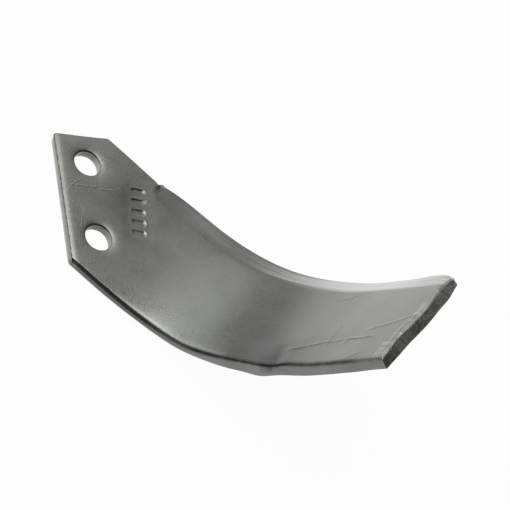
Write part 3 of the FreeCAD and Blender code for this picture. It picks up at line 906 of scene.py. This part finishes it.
# Steel parted by the shear or punch, then dipped: torn, so duller and rougher than the faces. The
# sheared sides look pale grey and silky, the cut at the tip nearly black with fine light scratches, and
# the holes' walls dark with painted shade and smoother.
tearing = {
    "patterns": {"tear": (0.9, 4, 0.65), "patch": (0.16, 3, 0.6)},  # per mm, detail and roughness
    "tones": {"tear": 0.6, "patch": 1.2, "litShadedAndScuffed": 0.9},
    "height": 0.2,  # mm that a tear stands up
    "scratch": 0.03,  # a scratch runs where a patch is this near to its middle tone
    "coat": (0.2, 0.3),  # the lacquer's weight and roughness
    # each finish's shade and roughness, how much lighter it grows towards the mounting face, and how
    # light its scratches are
    "finishes": {
        "shearedSteel": ("#a3a49f", 0.45, 0.9, 0),
        "cutTip": ("#7b7973", 0.5, 0, 1.3),
        # the holes' walls are given a darker shade, darkest by the inner face's rim, as painted shade in the
        # hole
        "punchedSteel": ("#6f6f69", 0.4, 1.2, 0),
    },
}


def tornSteel(name, shade, roughness, deeper, scratched):
    material, tree = newMaterial(name)
    place = flatPlace(tree)
    patterns = unevenness(tree, place, tearing["patterns"])
    patterns["litShadedAndScuffed"] = addNode(tree, "Attribute", attribute_name="litShadedAndScuffed").outputs["Fac"]
    downwards = {0: place, 1: (0, 0, -1 / blade["thickness"])}
    patterns["depth"] = addNode(tree, "VectorMath", downwards, operation="DOT_PRODUCT").outputs["Value"]
    offLine = addNode(tree, "Math", {0: patterns["patch"]}, operation="ABSOLUTE").outputs[0]
    onLine = {"Value": offLine, "From Min": tearing["scratch"], "From Max": 0.0}
    patterns["scratch"] = addNode(tree, "MapRange", onLine).outputs[0]
    tone = blend(tree, patterns, {**tearing["tones"], "depth": deeper, "scratch": scratched})
    height = blend(tree, patterns, {"tear": tearing["height"]})
    bump = addNode(tree, "Bump", {"Strength": 1.0, "Distance": mm, "Height": height})
    coat, coatRoughness = tearing["coat"]
    surface = addNode(tree, "BsdfPrincipled", {
        "Base Color": shaded(tree, colour(shade)[:3], tone), "Metallic": 1.0, "Roughness": roughness,
        "Coat Weight": coat, "Coat Roughness": coatRoughness, "Normal": bump.outputs["Normal"]})
    addNode(tree, "OutputMaterial", {"Surface": surface.outputs["BSDF"]})
    return material


mesh.materials.append(forgedSteel())
for name, values in tearing["finishes"].items():
    mesh.materials.append(tornSteel(name, *values))
burrMesh.materials.append(mesh.materials[0])
print("finishes:", len(mesh.materials))

# Stage: a white floor just under the blade. Camera and mirror rays see it mostly as plain white, and
# the rest is lit paper, which keeps the blade's shadow. From below it is clear.
stage = {
    "floorSize": 3.0,
    "floorHeight": -0.0002,
    "floorColour": "#f4f4f2",
    "whiteToCamera": 0.97,
    # mirror rays see the floor dimmer in front of the blade, as a painted shadow of the blade there, and
    # brighter than white behind it, as painted light
    "whiteInMetal": (0.6, 1.14),  # in front of the blade and behind it
    "between": (-0.06, 0.14),  # Y where the one begins to turn into the other, and where it ends
}
floorMesh = bpy.data.meshes.new("studioFloor")
half = stage["floorSize"] / 2
floorCorners = [(x * half, y * half, stage["floorHeight"]) for x, y in ((-1, -1), (1, -1), (1, 1), (-1, 1))]
floorMesh.from_pydata(floorCorners, [], [(0, 1, 2, 3)])
studioFloor = bpy.data.objects.new("studioFloor", floorMesh)
bpy.context.scene.collection.objects.link(studioFloor)
paper, tree = newMaterial("whitePaper")
path = addNode(tree, "LightPath").outputs
onPaper = addNode(tree, "SeparateXYZ", {0: addNode(tree, "TexCoord").outputs["Object"]}).outputs["Y"]
(low, high), (front, back) = stage["whiteInMetal"], stage["between"]
glow = addNode(tree, "MapRange", {"Value": onPaper, "From Min": front, "From Max": back,
                                  "To Min": low, "To Max": high}).outputs[0]
inMetal = addNode(tree, "Math", {0: path["Is Glossy Ray"], 1: glow}, operation="MULTIPLY").outputs[0]
plainWhite = {0: path["Is Camera Ray"], 1: stage["whiteToCamera"], 2: inMetal}
share = addNode(tree, "Math", plainWhite, operation="MULTIPLY_ADD").outputs[0]
lit = addNode(tree, "BsdfDiffuse", {"Color": colour(stage["floorColour"])}).outputs[0]
white = addNode(tree, "Emission", {"Color": (1, 1, 1, 1), "Strength": 1.0}).outputs[0]
upper = addNode(tree, "MixShader", {0: share, 1: lit, 2: white}).outputs[0]
fromBelow = addNode(tree, "NewGeometry").outputs["Backfacing"]
clear = addNode(tree, "BsdfTransparent").outputs[0]
bothSides = addNode(tree, "MixShader", {0: fromBelow, 1: upper, 2: clear}).outputs[0]
addNode(tree, "OutputMaterial", {"Surface": bothSides})
floorMesh.materials.append(paper)

# Studio: a dim room that is lighter at the back and left, with a large soft box above the back and a
# smaller one overhead. For each box: its place, its size in metres and its power in watts.
studio = {
    "dark": 0.05,
    "light": 0.43,
    "lightSide": (-0.3, 0.95, 0),
    "fade": (-0.3, 0.35),  # how far round towards that side the light grows
    "target": (0.07, -0.05, 0.03),
    "backBox": ((-0.19, 1.07, 1.18), (1.9, 0.99), 4.6),
    "topBox": ((-0.1, 0.25, 1.2), (0.8, 0.7), 4.5),
}
world = bpy.data.worlds.new("studio")
world.use_nodes = True
tree = world.node_tree
direction = addNode(tree, "TexCoord").outputs["Generated"]
facing = addNode(tree, "VectorMath", {0: direction, 1: studio["lightSide"]}, operation="DOT_PRODUCT")
low, high = studio["fade"]
level = addNode(tree, "MapRange", {"Value": facing.outputs["Value"], "From Min": low, "From Max": high,
                                   "To Min": studio["dark"], "To Max": studio["light"]},
                interpolation_type="SMOOTHSTEP").outputs[0]
tree.links.new(level, tree.nodes["Background"].inputs["Strength"])
tree.nodes["Background"].inputs["Color"].default_value = (1, 1, 1, 1)
bpy.context.scene.world = world


# a rectangular lamp that points at the blade
def softBox(name, place, size, power):
    lamp = bpy.data.lights.new(name, "AREA")
    lamp.shape = "RECTANGLE"
    lamp.size, lamp.size_y = size
    lamp.energy = power
    box = bpy.data.objects.new(name, lamp)
    bpy.context.scene.collection.objects.link(box)
    box.location = place
    box.rotation_euler = (Vector(studio["target"]) - Vector(place)).to_track_quat("-Z", "Y").to_euler()


softBox("backSoftBox", *studio["backBox"])
softBox("topSoftBox", *studio["topBox"])
print("studio: soft boxes at the back and overhead")

# The camera stands at the photograph's own angle, rolled as it was held.
camera = {
    "place": (-0.43911, -0.51360, 0.84048),
    "forward": (0.48554, 0.44138, -0.75461),
    "up": (-0.07741, 0.88150, 0.46579),
    "lens": 137.0,  # mm, on a sensor 36 mm wide
}
lensData = bpy.data.cameras.new("camera")
lensData.lens, lensData.sensor_width = camera["lens"], 36
lensData.clip_start, lensData.clip_end = 0.01, 20
viewer = bpy.data.objects.new("camera", lensData)
bpy.context.scene.collection.objects.link(viewer)
forward, up = Vector(camera["forward"]).normalized(), Vector(camera["up"])
right = forward.cross(up).normalized()
up = right.cross(forward)
axes = zip(right, up, -forward, camera["place"])
viewer.matrix_world = Matrix([*axes, (0, 0, 0, 1)])
bpy.context.scene.camera = viewer

bpy.context.scene.view_settings.view_transform = "Standard"
